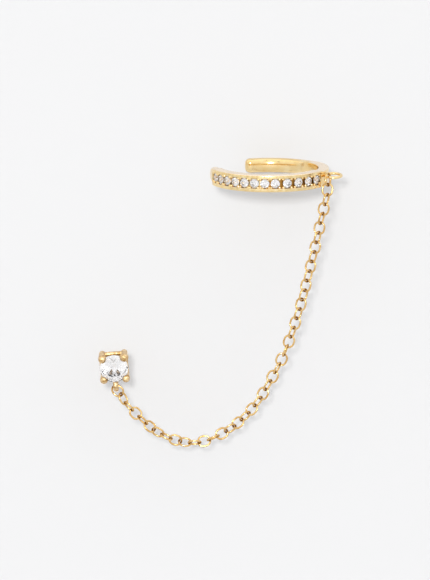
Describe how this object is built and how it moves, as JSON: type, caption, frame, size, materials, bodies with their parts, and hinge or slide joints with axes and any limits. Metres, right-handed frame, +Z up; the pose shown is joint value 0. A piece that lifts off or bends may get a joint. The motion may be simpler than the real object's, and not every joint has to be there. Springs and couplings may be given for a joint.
{
  "type": "ear chain earring",
  "caption": "Open ear cuff with a channel of small stones, joined by a fine cable chain of interlocked links to a four-prong stud with an ear post.",
  "frame": {"origin": "the middle of the back of the stud's setting, where it sits on the front of the ear lobe", "axes": "+Z up as the earring hangs when worn, +Y back through the lobe along the ear post, -Y the side that is looked at, +X towards the side where the cuff hangs"},
  "size_m": [0.0245, 0.0119, 0.0281],
  "materials": {
    "gold": "polished yellow gold",
    "stone": "clear faceted stone, polished"
  },
  "bodies": {
    "root": {"cuff": "gold", "cuff_stone_01": "stone", "cuff_stone_02": "stone", "cuff_stone_03": "stone", "cuff_stone_04": "stone", "cuff_stone_05": "stone", "cuff_stone_06": "stone", "cuff_stone_07": "stone", "cuff_stone_08": "stone", "cuff_stone_09": "stone", "cuff_stone_10": "stone", "cuff_stone_11": "stone", "cuff_stone_12": "stone", "chain": "gold", "stud_setting": "gold", "stud_stone": "stone"}
  },
  "joints": []
}
